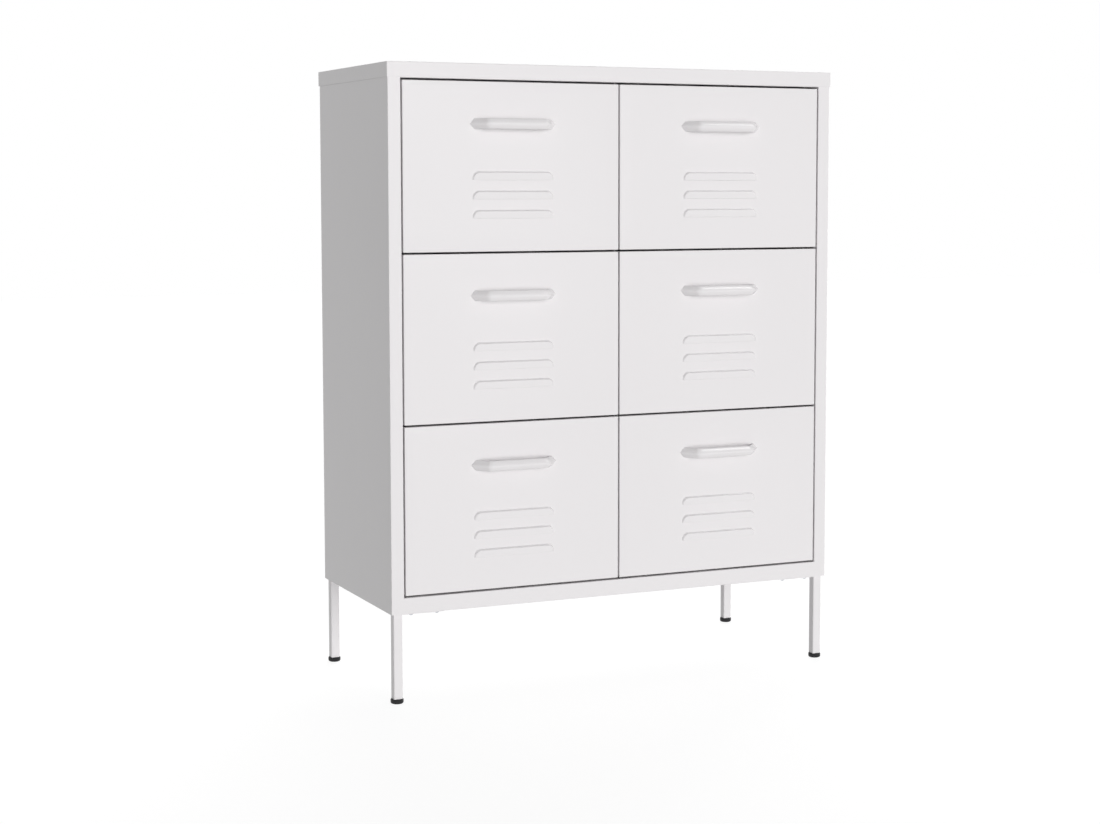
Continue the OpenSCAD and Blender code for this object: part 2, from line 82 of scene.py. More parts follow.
bl_info = {
    "name": "Steel drawer cabinet",
    "version": (1, 0, 0),
    "blender": (4, 5, 0),
    "location": "View3D > Sidebar > Cabinet",
    "description": "Dresses a louvred sheet-steel drawer cabinet and sets up its studio",
    "category": "Add Mesh",
}

MM = 0.001
DRAWERS = [body[: -len("_drawer")] for body in frame["bodies"] if body.endswith("_drawer")]
CORNERS = [name[len("foot_"):] for name in frame["nodes"] if name.startswith("foot_")]
CARCASS_FRONT_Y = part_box("side_panel_left")[0].y
SHARP_ANGLE = math.radians(38)
WELD_DECIMALS = 7        # points that agree to this many decimals of a metre are one


def length(name, description, millimetres):
    """A property that holds a length, given in millimetres and kept in metres."""
    return bpy.props.FloatProperty(
        name=name, description=description, default=millimetres * MM, min=0,
        precision=5, unit="LENGTH", subtype="DISTANCE")


def colour(name, description, value):
    """A property that holds a surface colour."""
    return bpy.props.FloatVectorProperty(
        name=name, description=description, default=(*value, 1), size=4,
        min=0, max=1, subtype="COLOR")


def share(name, description, value):
    """A property that holds a number from 0 to 1."""
    return bpy.props.FloatProperty(
        name=name, description=description, default=value, min=0, max=1, subtype="FACTOR")


# ---- sizes and colours that a user may change ----

class FinishSettings(bpy.types.PropertyGroup):
    """Colours and textures of the four finishes."""
    coat_colour: colour("Powder coat", "Colour of the white powder coat", (0.835, 0.815, 0.824))
    coat_roughness: share("Coat roughness", "How matte the powder coat is", 0.21)
    coat_shine: share("Coat shine", "Strength of the reflections in the powder coat", 0.45)
    peel_width: length("Peel width", "Width of the soft ripples in the powder coat", 2.4)
    peel_depth: length("Peel depth", "Height of those ripples", 0.005)
    grain_width: length("Grain width", "Width of the coat's fine grain", 0.45)
    grain_depth: length("Grain depth", "Height of that grain", 0.001)
    zinc_colour: colour("Zinc plate", "Colour of the zinc-plated steel", (0.62, 0.64, 0.67))
    zinc_roughness: share("Zinc roughness", "How dull the zinc plate is", 0.34)
    steel_colour: colour("Bearing steel", "Colour of the balls and their cages", (0.7, 0.7, 0.71))
    steel_roughness: share("Steel roughness", "How dull the bearing steel is", 0.16)
    plastic_colour: colour("Glide plastic", "Colour of the glides", (0.012, 0.012, 0.013))
    plastic_roughness: share("Plastic roughness", "How matte the glides are", 0.5)
    plastic_shine: share("Plastic shine", "Strength of the reflections in the glides", 0.3)


class FrontSizes(bpy.types.PropertyGroup):
    """Sizes of a drawer front and its louvres that the frame doesn't give."""
    sheet: length("Sheet", "Thickness of the sheet steel", 0.8)
    fold: length("Fold radius", "Outside radius of a fold", 1.2)
    lip: length("Lip", "Width of the lips turned in behind the front", 24)
    louvres: bpy.props.IntProperty(
        name="Louvres", description="Louvres on a drawer front", default=3, min=1, max=3)
    louvre_length: length("Louvre length", "Length of a louvre", 141)
    louvre_height: length("Louvre height", "Height of a louvre", 14)
    louvre_corner: length("Louvre corner", "Radius of its upper corners", 12)
    louvre_root: length("Louvre root", "Hollow radius where it leaves the sheet", 0.8)
    louvre_crown: length("Louvre crown", "Radius where its side turns into its face", 1.4)
    louvre_slope: bpy.props.FloatProperty(
        name="Louvre slope", description="Tilt of its side", default=math.radians(64),
        min=math.radians(20), max=math.radians(88), subtype="ANGLE")
    louvre_sag: share("Louvre sag", "Share of its height lost at its open lip", 0.55)
    louvre_pitch: length("Louvre pitch", "Distance from one louvre to the next", 30.5)
    louvre_drop: length("Louvre drop", "First louvre's top below the front's top", 141.2)


class HandleSizes(bpy.types.PropertyGroup):
    """Sizes of a bow handle that the frame doesn't give."""
    bar_length: length("Bar length", "Straight bar, between the bends' outer corners", 104)
    thickness: length("Thickness", "Thickness of the bar at its ridge", 8)
    nose: length("Nose radius", "Radius along the ridge of the bar's outer side", 2.5)
    flank: bpy.props.FloatProperty(
        name="Flank", description="Tilt of the outer side away from its ridge",
        default=math.radians(37), min=0, max=math.radians(60), subtype="ANGLE")
    bend: length("Bend radius", "Radius of each bend, at the middle of the bar", 10)
    squareness: bpy.props.FloatProperty(
        name="Squareness", description="Power that squares the bar's section, 2 is an oval",
        default=3, min=2, max=8)
    screw_pitch: length("Screw pitch", "Distance between the two screws", 128)
    boss: length("Boss radius", "Radius of the boss for each screw", 7.2)


class FixingSizes(bpy.types.PropertyGroup):
    """Sizes and places of the glides and screws that the frame doesn't give."""
    glide_height: length("Glide height", "Height of a glide below its tube", 8)
    glide_edge: length("Glide edge", "Radius of a glide's lower edge", 3)
    glide_rim: length("Glide rim", "Radius of a glide's upper edge", 2)
    plug_width: length("Plug width", "Side of the plug inside the tube", 12.5)
    shank: length("Shank", "Radius of every screw's shank", 2)
    dome: length("Dome", "Radius of the dome of every screw's head", 5.2)
    cross_arm: length("Cross arm", "Length of an arm of the cross recess", 2.1)
    cross_width: length("Cross width", "Width of an arm of the cross recess", 0.9)
    cross_depth: length("Cross depth", "Depth of the cross recess", 1.2)
    leg_head: length("Leg head", "Radius of a head under a leg plate", 4.2)
    leg_head_height: length("Leg head height", "Height of a head under a leg plate", 2.8)
    plate_inset: length("Plate inset", "Leg screws in from the edge of their plate", 5.2)
    plate_near: length("Near screw", "First leg screw along an arm of its plate", 31)
    plate_far: length("Far screw", "Second leg screw along an arm of its plate", 75)
    back_head: length("Back head", "Radius of a head on the back", 3.55)
    back_head_height: length("Back head height", "Height of a head on the back", 1.4)
    back_rows: bpy.props.IntProperty(
        name="Back rows", description="Screws in each column on the back", default=5, min=2)
    back_middle: length("Middle column", "Middle column of back screws, right of the centre", 7.5)
    drawer_head: length("Drawer head", "Radius of a head inside a drawer", 4)
    drawer_head_height: length("Drawer head height", "Height of a head inside a drawer", 2.4)
    handle_shank: length("Handle screw", "Length of a handle screw below its head", 7)
    tray_shank: length("Tray screw", "Length of a tray screw below its head", 5)
    tray_rise: length("Tray rise", "Height from a tray's lower screws to its upper ones", 150)


class StudioSettings(bpy.types.PropertyGroup):
    """Camera, lamps and backdrop."""
    camera_place: bpy.props.FloatVectorProperty(
        name="Camera place", description="Where the camera stands", subtype="TRANSLATION",
        unit="LENGTH", default=(-1.4647, -3.19485, 0.8227))
    camera_yaw: bpy.props.FloatProperty(
        name="Camera yaw", description="Turn of the camera to the right of +Y", subtype="ANGLE",
        default=math.radians(24.872))
    camera_pitch: bpy.props.FloatProperty(
        name="Camera pitch", description="Dip of the camera below level", subtype="ANGLE",
        default=math.radians(4.854))
    camera_lens: bpy.props.FloatProperty(
        name="Lens", description="Focal length in millimetres", default=67.18, min=1)
    shift_x: bpy.props.FloatProperty(
        name="Shift across", description="Sideways shift of the lens", default=-0.03364)
    shift_y: bpy.props.FloatProperty(
        name="Shift up", description="Upward shift of the lens", default=-0.04727)
    key_strength: bpy.props.FloatProperty(
        name="Key strength", description="Light from the front", default=1.98, min=0)
    strip_power: bpy.props.FloatProperty(
        name="Strip power", description="Highlights from the right, in watts", default=18, min=0)
    rear_strength: bpy.props.FloatProperty(
        name="Rear strength", description="Light from behind and above", default=2.2, min=0)
    ambient: bpy.props.FloatProperty(
        name="Ambient", description="Even light from all round", default=0.33, min=0)


# ---- meshes ----

def grid_quads(rows, columns, wrap=False):
    """Corner numbers of the faces between neighbouring rows and columns of a grid of points.
    With wrap, the last column joins the first."""
    corner = np.arange(rows * columns).reshape(rows, columns)
    if wrap:
        corner = np.hstack([corner, corner[:, :1]])
    faces = [corner[:-1, :-1], corner[:-1, 1:], corner[1:, 1:], corner[1:, :-1]]
    return np.stack(faces, axis=-1).reshape(-1, 4)


def surface(points, wrap=False, flip=False):
    """A grid of points, rows x columns x 3, as a list of points and the faces between them."""
    quads = grid_quads(points.shape[0], points.shape[1], wrap)
    return points.reshape(-1, 3), quads[:, ::-1] if flip else quads


def joined(surfaces):
    """Several surfaces as one, with the corners numbered on."""
    starts = np.cumsum([0] + [len(points) for points, _ in surfaces[:-1]])
    points = np.vstack([points for points, _ in surfaces])
    return points, np.vstack([quads + start for (_, quads), start in zip(surfaces, starts)])


def welded(points, quads):
    """Merges the points that lie together, which closes seams and poles, and drops the corners
    and faces that vanish there."""
    rounded = np.round(points, WELD_DECIMALS)
    _, first, place = np.unique(rounded, axis=0, return_index=True, return_inverse=True)
    faces = place.reshape(-1)[quads]
    kept = faces != np.roll(faces, -1, axis=1)
    corners = kept.sum(axis=1)
    thirds = faces[corners == 3][kept[corners == 3]].reshape(-1, 3)
    return points[first], faces[corners == 4].tolist() + thirds.tolist()


def make_mesh(name, surfaces):
    """One welded mesh from several surfaces."""
    mesh = bpy.data.meshes.new(name)
    points, faces = welded(*joined(surfaces))
    mesh.from_pydata(points.tolist(), [], faces)
    mesh.validate()
    return mesh


def smooth_but_sharp(mesh):
    """Smooth shading, apart from edges that turn by more than SHARP_ANGLE."""
    mesh.polygons.foreach_set("use_smooth", np.ones(len(mesh.polygons), bool))
    mesh.set_sharp_from_angle(angle=SHARP_ANGLE)


def with_modifiers(mesh, modifiers):
    """The mesh after its modifiers, each given as (kind, settings)."""
    maker = bpy.data.objects.new(mesh.name, mesh)
    bpy.context.scene.collection.objects.link(maker)
    for kind, settings in modifiers:
        modifier = maker.modifiers.new(kind.lower(), kind)
        for setting, value in settings.items():
            setattr(modifier, setting, value)
    bpy.context.view_layer.update()
    evaluated = maker.evaluated_get(bpy.context.evaluated_depsgraph_get())
    made = bpy.data.meshes.new_from_object(evaluated)
    bpy.data.objects.remove(maker)
    return made


def place_piece(name, mesh, body, nodes, slot, offset=(0, 0, 0)):
    """Adds a copy of the mesh, moved by offset, as a piece that rides on a body and stands for
    its CAD nodes, in the finish of that material slot."""
    copy = mesh.copy()
    copy.name = name
    spots = np.empty(len(copy.vertices) * 3, np.float32)
    copy.vertices.foreach_get("co", spots)
    moved = spots.reshape(-1, 3) + np.array(offset, np.float32)
    copy.vertices.foreach_set("co", moved.reshape(-1))
    copy.materials.clear()
    copy.materials.append(bpy.data.materials[slot])
    smooth_but_sharp(copy)
    copy.update()
    piece = bpy.data.objects.new(name, copy)
    bpy.context.scene.collection.objects.link(piece)
    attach(piece, body)
    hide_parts(*nodes)


# ---- finishes ----

NOISE_LOW, NOISE_HIGH = 0.3, 0.7      # most of a noise pattern lies between these


def new_finish(name):
    """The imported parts' material of that name, emptied down to one Principled shader."""
    material = bpy.data.materials[name]
    material.use_nodes = True
    tree = material.node_tree
    tree.nodes.clear()
    shader = tree.nodes.new("ShaderNodeBsdfPrincipled")
    output = tree.nodes.new("ShaderNodeOutputMaterial")
    tree.links.new(shader.outputs["BSDF"], output.inputs["Surface"])
    place = tree.nodes.new("ShaderNodeTexCoord").outputs["Object"]
    return tree, shader, place


def noise(tree, place, width, detail=2, stretch=(1, 1, 1)):
    """Noise whose blotches are about width across, drawn out along an axis by stretch."""
    mapping = tree.nodes.new("ShaderNodeMapping")
    mapping.inputs["Scale"].default_value = [1 / (width * s) for s in stretch]
    pattern = tree.nodes.new("ShaderNodeTexNoise")
    pattern.inputs["Scale"].default_value = 1
    pattern.inputs["Detail"].default_value = detail
    tree.links.new(place, mapping.inputs["Vector"])
    tree.links.new(mapping.outputs["Vector"], pattern.inputs["Vector"])
    return pattern.outputs["Fac"]


def spread(tree, source, low, high):
    """A pattern's middle range as a number from low to high."""
    node = tree.nodes.new("ShaderNodeMapRange")
    node.inputs["From Min"].default_value = NOISE_LOW
    node.inputs["From Max"].default_value = NOISE_HIGH
    node.inputs["To Min"].default_value = low
    node.inputs["To Max"].default_value = high
    tree.links.new(source, node.inputs["Value"])
    return node.outputs["Result"]


def shaded(value, factor):
    """A colour made lighter or darker by a factor."""
    return (*(min(1, factor * channel) for channel in value[:3]), 1)


def toned(tree, source, base, darkest, lightest):
    """A colour that a pattern varies between two factors of its base."""
    node = tree.nodes.new("ShaderNodeMix")
    node.data_type = "RGBA"
    node.inputs["A"].default_value = shaded(base, darkest)
    node.inputs["B"].default_value = shaded(base, lightest)
    tree.links.new(spread(tree, source, 0, 1), node.inputs["Factor"])
    return node.outputs["Result"]


def swung(tree, source, middle, less, more):
    """A number that a pattern varies from less below the middle to more above it."""
    return spread(tree, source, middle - less, middle + more)


def relief(tree, heights):
    """Bump from several patterns, each given with its depth, one on another."""
    normal = None
    for pattern, depth in heights:
        node = tree.nodes.new("ShaderNodeBump")
        node.inputs["Distance"].default_value = depth
        tree.links.new(pattern, node.inputs["Height"])
        if normal is not None:
            tree.links.new(normal, node.inputs["Normal"])
        normal = node.outputs["Normal"]
    return normal


def lead_in(tree, shader, tone, gloss, normal):
    """Leads a colour, a roughness and a relief into the shader."""
    tree.links.new(tone, shader.inputs["Base Color"])
    tree.links.new(gloss, shader.inputs["Roughness"])
    tree.links.new(normal, shader.inputs["Normal"])


def powder_coat(finish):
    """White powder coat: soft ripples under a fine grain, with a faint drift in shade and gloss."""
    tree, shader, place = new_finish("white_powder_coat")
    shader.inputs["Specular IOR Level"].default_value = finish.coat_shine
    drift = noise(tree, place, width=0.35)
    wander = noise(tree, place, width=0.05)
    peel = noise(tree, place, finish.peel_width, detail=1)
    grain = noise(tree, place, finish.grain_width, detail=1)
    tone = toned(tree, drift, finish.coat_colour, darkest=0.992, lightest=1.006)
    gloss = swung(tree, wander, finish.coat_roughness, less=0.015, more=0.015)
    normal = relief(tree, [(peel, finish.peel_depth), (grain, finish.grain_depth)])
    lead_in(tree, shader, tone, gloss, normal)


def zinc_plate(finish):
    """Zinc-plated steel: faint rolling lines along Y and a cloudy, slightly blue passivation."""
    tree, shader, place = new_finish("zinc_plated_steel")
    shader.inputs["Metallic"].default_value = 1
    clouds = noise(tree, place, width=0.018, detail=3)
    lines = noise(tree, place, width=0.0007, stretch=(1, 60, 1))
    line_depth = 0.003 * MM
    tone = toned(tree, clouds, finish.zinc_colour, darkest=0.9, lightest=1.08)
    gloss = swung(tree, lines, finish.zinc_roughness, less=0.07, more=0.07)
    lead_in(tree, shader, tone, gloss, relief(tree, [(lines, line_depth)]))


def bearing_steel(finish):
    """Polished bearing steel with a trace of oil that varies its gloss."""
    tree, shader, place = new_finish("bright_steel")
    shader.inputs["Metallic"].default_value = 1
    film = noise(tree, place, width=0.004, detail=3)
    scuffs = noise(tree, place, width=0.0003, stretch=(1, 12, 1))
    scuff_depth = 0.001 * MM
    tone = toned(tree, film, finish.steel_colour, darkest=0.93, lightest=1.05)
    gloss = swung(tree, film, finish.steel_roughness, less=0.05, more=0.06)
    lead_in(tree, shader, tone, gloss, relief(tree, [(scuffs, scuff_depth)]))


def moulded_plastic(finish):
    """Black moulded plastic with a fine eroded grain and slightly worn gloss."""
    tree, shader, place = new_finish("black_plastic")
    shader.inputs["Specular IOR Level"].default_value = finish.plastic_shine
    grain = noise(tree, place, width=0.0006)
    wear = noise(tree, place, width=0.006, detail=3)
    grain_depth = 0.012 * MM
    tone = toned(tree, wear, finish.plastic_colour, darkest=1, lightest=1.5)
    gloss = swung(tree, wear, finish.plastic_roughness, less=0.06, more=0.06)
    lead_in(tree, shader, tone, gloss, relief(tree, [(grain, grain_depth)]))


class CABINET_OT_finish_parts(bpy.types.Operator):
    """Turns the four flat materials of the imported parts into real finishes"""
    bl_idname = "cabinet.finish_parts"
    bl_label = "Finish Parts"

    def execute(self, context):
        finish = context.scene.cabinet_finish
        powder_coat(finish)
        zinc_plate(finish)
        bearing_steel(finish)
        moulded_plastic(finish)
        return {"FINISHED"}


# ---- drawer fronts ----

CORNER_STEPS = 8         # along a louvre's edge, from its margin to the end of its corner
STRAIGHT_STEPS = 3       # from there to the louvre's middle
ROOT_SAMPLES = 6         # over the hollow arc of its profile
CROWN_SAMPLES = 8        # over the round arc of its profile
FOLD_SAMPLES = 6         # over a fold of the sheet


def symmetric(values):
    """Values from the left edge to the middle, then their mirror image."""
    left = np.asarray(values)
    return np.concatenate([left, -left[::-1]])


def louvre_steps(sizes):
    """Distances round a louvre: the flat margin kept free outside it, and the step between
    samples. The margin is a third of the corner radius, so that two steps fill it."""
    margin = sizes.louvre_corner / 3
    return margin, margin / 2


def louvre_columns(sizes):
    """X of the samples along the top of a louvre's margin, from left to right."""
    margin, step = louvre_steps(sizes)
    outer = sizes.louvre_length / 2 + margin
    corner = -outer + step * np.arange(CORNER_STEPS + 1)
    straight = np.linspace(corner[-1], 0, STRAIGHT_STEPS + 1)[1:-1]
    return np.concatenate([corner, straight, [0], -straight[::-1], -corner[::-1]])


def louvre_rows(sizes):
    """Z of the samples up the side of a louvre's margin, from its open lip."""
    _, step = louvre_steps(sizes)
    start = sizes.louvre_height - sizes.louvre_corner
    return np.concatenate([[0], start + step * np.arange(CORNER_STEPS + 1)])


def louvre_profile(sizes, rise):
    """Profile of a louvre's side as distances inwards and heights: a hollow arc, a straight slope
    and a crowned arc, all meeting smoothly."""
    root_turn = np.linspace(0, sizes.louvre_slope, ROOT_SAMPLES)
    crown_turn = np.linspace(sizes.louvre_slope, 0, CROWN_SAMPLES)
    root, crown = sizes.louvre_root, sizes.louvre_crown
    sine, cosine = math.sin(sizes.louvre_slope), math.cos(sizes.louvre_slope)
    run = (root + crown) * sine + (rise - (root + crown) * (1 - cosine)) * cosine / sine
    inset = np.concatenate([root * np.sin(root_turn), run - crown * np.sin(crown_turn)])
    lower, upper = root * (1 - np.cos(root_turn)), rise - crown * (1 - np.cos(crown_turn))
    return inset, np.concatenate([lower, upper])


def louvre_surface(sizes, rise):
    """A pressed louvre on a grid: u runs up its left side, over the top and down its right side,
    and v runs from the flat margin up its profile to the open lip. The profile is carried along
    the outline by its inward normal, and at height z of h it is lowered by sag (1 - z/h)^2.
    Returned as X, height above the sheet and Z."""
    columns, rows = louvre_columns(sizes), louvre_rows(sizes)
    half, radius = sizes.louvre_length / 2, sizes.louvre_corner
    top = sizes.louvre_height + louvre_steps(sizes)[0]
    left_side = np.stack([np.full(len(rows), columns[0]), rows], axis=-1)
    top_side = np.stack([columns[1:-1], np.full(len(columns) - 2, top)], axis=-1)
    right_side = left_side[::-1] * (-1, 1)
    margin = np.vstack([left_side, top_side, right_side])

    turn = np.linspace(math.pi, math.pi / 2, 2 * CORNER_STEPS + 1)
    straight = np.linspace(radius - half, half - radius, 2 * STRAIGHT_STEPS + 1)[1:-1]
    arc = np.stack([np.cos(turn), np.sin(turn)], axis=-1)
    left_arc = arc * radius + (radius - half, sizes.louvre_height - radius)
    over = np.stack([straight, np.full(len(straight), sizes.louvre_height)], axis=-1)
    left = np.vstack([[(-half, 0)], left_arc])
    outline = np.vstack([left, over, left[::-1] * (-1, 1)])
    inward_left = np.vstack([[(1, 0)], -arc])
    inward_over = np.tile((0, -1), (len(over), 1))
    inward = np.vstack([inward_left, inward_over, inward_left[::-1] * (-1, 1)])

    inset, height = louvre_profile(sizes, rise)
    climb = outline + inset[:, None, None] * inward

    lip_x = np.linspace(climb[-1, 0, 0], climb[-1, -1, 0], len(outline))
    lip = np.stack([lip_x, np.zeros(len(lip_x))], axis=-1)
    flat = np.vstack([margin[None], (margin[None] + outline[None]) / 2, climb, lip[None]])
    heights = np.concatenate([[0, 0], height, [rise]])
    lowered = 1 - sizes.louvre_sag * (1 - flat[..., 1] / sizes.louvre_height) ** 2
    return np.stack([flat[..., 0], heights[:, None] * lowered, flat[..., 1]], axis=-1)


def rectangle_walk(x_lines, z_lines, corner_steps=5):
    """Points round the rectangle that the outer lines bound, starting along its lower edge, with
    the outward normals there. At a corner the point repeats while its normal turns."""
    sides = [
        np.stack([x_lines, np.full(len(x_lines), z_lines[0])], axis=-1),
        np.stack([np.full(len(z_lines), x_lines[-1]), z_lines], axis=-1),
        np.stack([x_lines[::-1], np.full(len(x_lines), z_lines[-1])], axis=-1),
        np.stack([np.full(len(z_lines), x_lines[0]), z_lines[::-1]], axis=-1),
    ]
    spots, angles = [], []
    for number, side in enumerate(sides):
        angle = (number - 1) * math.pi / 2
        turning = np.linspace(0, math.pi / 2, corner_steps + 1)[1:-1]
        spots += [side, np.repeat(side[-1:], len(turning), axis=0)]
        angles += [np.full(len(side), angle), angle + turning]
    angles = np.concatenate(angles)
    return np.vstack(spots), np.stack([np.cos(angles), np.sin(angles)], axis=-1)


def plate(x_lines, z_lines, y, holes, flip=False):
    """A flat grid over the lines at depth y, without the cells inside the holes, which are
    given as (left, right, bottom, top)."""
    x, z = np.meshgrid(x_lines, z_lines)
    points, quads = surface(np.stack([x, np.full_like(x, y), z], axis=-1), flip=flip)
    middle = points[quads].mean(axis=1)
    keep = np.ones(len(quads), bool)
    for left, right, bottom, top in holes:
        across = (middle[:, 0] > left) & (middle[:, 0] < right)
        keep &= ~(across & (middle[:, 2] > bottom) & (middle[:, 2] < top))
    return points, quads[keep]


def pressed_front(sizes, width, height, depth, rise):
    """The sheet of a drawer front, seen from the front with X from its middle, Z from its bottom
    and Y from its face: a flat face with louvres, flanges folded back round it as a profile of two
    quarter circles carried round the rectangle, and lips turned in behind."""
    margin, _ = louvre_steps(sizes)
    bottoms = [height - sizes.louvre_drop - sizes.louvre_height - number * sizes.louvre_pitch
               for number in range(sizes.louvres)]
    x_lines = symmetric([sizes.fold - width / 2, sizes.lip - width / 2])
    x_lines = np.sort(np.concatenate([x_lines, louvre_columns(sizes)]))
    z_lines = [[sizes.fold, sizes.lip, height - sizes.lip, height - sizes.fold]]
    z_lines = np.sort(np.concatenate(z_lines + [bottom + louvre_rows(sizes) for bottom in bottoms]))
    reach = sizes.louvre_length / 2 + margin
    openings = [(-reach, reach, bottom, bottom + sizes.louvre_height + margin) for bottom in bottoms]
    face = plate(x_lines, z_lines, 0, openings)
    louvre = louvre_surface(sizes, rise) * (1, -1, 1)
    louvres = [surface(louvre + (0, 0, bottom), flip=True) for bottom in bottoms]

    spots, normals = rectangle_walk(x_lines, z_lines)
    turn = np.linspace(0, math.pi / 2, FOLD_SAMPLES)
    out = np.concatenate([sizes.fold * np.sin(turn), sizes.fold * np.cos(turn)])
    back = np.concatenate([sizes.fold * (1 - np.cos(turn)), depth - sizes.fold * (1 - np.sin(turn))])
    walls = spots + out[:, None, None] * normals
    backs = np.broadcast_to(back[:, None], walls.shape[:2])
    walls = np.stack([walls[..., 0], backs, walls[..., 1]], axis=-1)
    inner = [(sizes.lip - width / 2, width / 2 - sizes.lip, sizes.lip, height - sizes.lip)]
    lips = plate(x_lines, z_lines, depth, inner, flip=True)
    return [face, surface(walls, wrap=True, flip=True), lips, *louvres]


class CABINET_OT_press_fronts(bpy.types.Operator):
    """Makes the six folded drawer fronts with their pressed louvres"""
    bl_idname = "cabinet.press_fronts"
    bl_label = "Press Fronts"

    def execute(self, context):
        sizes = context.scene.cabinet_front
        low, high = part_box(f"{DRAWERS[0]}_front")
        rise = CARCASS_FRONT_Y - low.y
        depth = high.y - CARCASS_FRONT_Y
        width, height = high.x - low.x, high.z - low.z
        sheet = make_mesh("drawer_front", pressed_front(sizes, width, height, depth, rise))
        solid = ("SOLIDIFY", {"thickness": sizes.sheet, "offset": -1, "use_even_offset": True})
        front = with_modifiers(sheet, [solid])
        for drawer in DRAWERS:
            low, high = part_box(f"{drawer}_front")
            offset = ((low.x + high.x) / 2, CARCASS_FRONT_Y, low.z)
            place_piece(f"{drawer}_louvred_front", front, f"{drawer}_drawer",
                        [f"{drawer}_front"], "white_powder_coat", offset)
        return {"FINISHED"}


# ---- handles ----

SECTION_SAMPLES = 56     # round the bar's section
BAR_STEPS = 3            # from the bar's middle to its bend
BEND_SAMPLES = 15        # over a bend
LEG_SAMPLES = 36         # down a sloping end, closer towards its tip
BOSS_SAMPLES = 32        # round a boss
BOSS_LEAST = 0.4 * MM    # height that a boss keeps past the foot of the slope


def full_turn(samples):
    """Evenly spaced angles round a circle."""
    return np.arange(samples) * 2 * math.pi / samples


def squared_oval(angle, half_across, half_up, power):
    """Radius of a squared oval at an angle a, r = (|cos a / A|^n + |sin a / B|^n)^(-1/n)."""
    across = np.abs(np.cos(angle) / half_across) ** power
    return (across + np.abs(np.sin(angle) / half_up) ** power) ** (-1 / power)


def bar_section(sizes, bar_height):
    """Section of the bar as depth and height: a squared oval whose outer side falls back from a
    ridge of radius q by tan(flank) (sqrt(z^2 + q^2) - q) at height z."""
    angle = full_turn(SECTION_SAMPLES)
    half_t, half_h = sizes.thickness / 2, bar_height / 2
    radius = squared_oval(angle, half_h, half_t, sizes.squareness)
    up, out = radius * np.cos(angle), radius * np.sin(angle)
    drop = math.tan(sizes.flank) * (np.sqrt(up ** 2 + sizes.nose ** 2) - sizes.nose)
    return out - drop * (out + half_t) / sizes.thickness, up


def bow_bar(sizes, total, bar_height, reach):
    """The bent bar, X from its middle, Y out from the drawer front and Z from its middle height.
    The section rides square to a path of straight, arc, straight, arc and straight, is cut off
    level with the drawer front, and its height is drawn in as sqrt(1 - s^2) over the last half
    height s of each end, which rounds the ends seen from the front."""
    out, up = bar_section(sizes, bar_height)
    turn = math.atan2(reach, (total - sizes.bar_length) / 2)
    outer = sizes.thickness / 2 + sizes.bend
    bend_x = sizes.bar_length / 2 - outer * math.tan(turn / 2)
    bend_y = reach - outer
    arc = np.linspace(0, turn, BEND_SAMPLES)
    leg = (reach / math.sin(turn)) * np.sin(np.linspace(0, math.pi / 2, LEG_SAMPLES))[1:]
    bar_x = np.linspace(0, bend_x, BAR_STEPS + 1)[:-1]
    path_x = np.concatenate([bar_x, bend_x + sizes.bend * np.sin(arc),
                             bend_x + sizes.bend * math.sin(turn) + leg * math.cos(turn)])
    path_y = np.concatenate([np.full(BAR_STEPS, bend_y + sizes.bend), bend_y + sizes.bend * np.cos(arc),
                             bend_y + sizes.bend * math.cos(turn) - leg * math.sin(turn)])
    tilt = np.concatenate([np.zeros(BAR_STEPS), arc, np.full(len(leg), turn)])
    x = path_x[:, None] + out * np.sin(tilt)[:, None]
    y = path_y[:, None] + out * np.cos(tilt)[:, None]
    past = np.where(tilt[:, None] == turn, np.maximum(0, -y) / math.sin(turn), 0)
    x, y = x - past * math.cos(turn), y + past * math.sin(turn)
    half_h = bar_height / 2
    end = np.clip((x - (total / 2 - half_h)) / half_h, 0, 1)
    z = up * np.sqrt(1 - end ** 2)
    right = np.stack([x, y, z], axis=-1)
    left = right[:0:-1] * (-1, 1, 1)
    bar = np.concatenate([left, right])
    caps = [np.broadcast_to(row.mean(axis=0), row.shape)[None] for row in (bar[0], bar[-1])]
    return np.concatenate([caps[0], bar, caps[1]])


def screw_boss(sizes, total, reach, side):
    """Boss under one end of the bar: a cylinder from the drawer front to the middle of the
    sloping bar, so its top height falls as the slope does."""
    turn = math.atan2(reach, (total - sizes.bar_length) / 2)
    angle = full_turn(BOSS_SAMPLES)
    radius = np.array([0, 1, 1, 0])[:, None] * sizes.boss
    x = sizes.screw_pitch / 2 + radius * np.cos(angle)
    foot = total / 2 - sizes.thickness / 2 / math.sin(turn)
    slope = np.clip((foot - x) * math.tan(turn), BOSS_LEAST, None)
    y = np.where(np.array([0, 0, 1, 1])[:, None], slope, 0)
    return np.stack([side * x, y, radius * np.sin(angle)], axis=-1)


class CABINET_OT_bend_handles(bpy.types.Operator):
    """Makes the six bow handles, each a ridged bar with a boss at both ends"""
    bl_idname = "cabinet.bend_handles"
    bl_label = "Bend Handles"

    def execute(self, context):
        sizes = context.scene.cabinet_handle
        low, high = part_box(f"{DRAWERS[0]}_handle")
        total, bar_height, reach = high.x - low.x, high.z - low.z, high.y - low.y
        outwards = (1, -1, 1)
        bar = surface(bow_bar(sizes, total, bar_height, reach) * outwards, wrap=True)
        bosses = [surface(screw_boss(sizes, total, reach, side) * outwards, wrap=True, flip=side > 0)
                  for side in (-1, 1)]
        handle = make_mesh("handle", [bar, *bosses])
        for drawer in DRAWERS:
            low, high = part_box(f"{drawer}_handle")
            offset = ((low.x + high.x) / 2, high.y, (low.z + high.z) / 2)
            place_piece(f"{drawer}_bow_handle", handle, f"{drawer}_drawer",
                        [f"{drawer}_handle"], "white_powder_coat", offset)
        return {"FINISHED"}


# ---- glides and screws ----

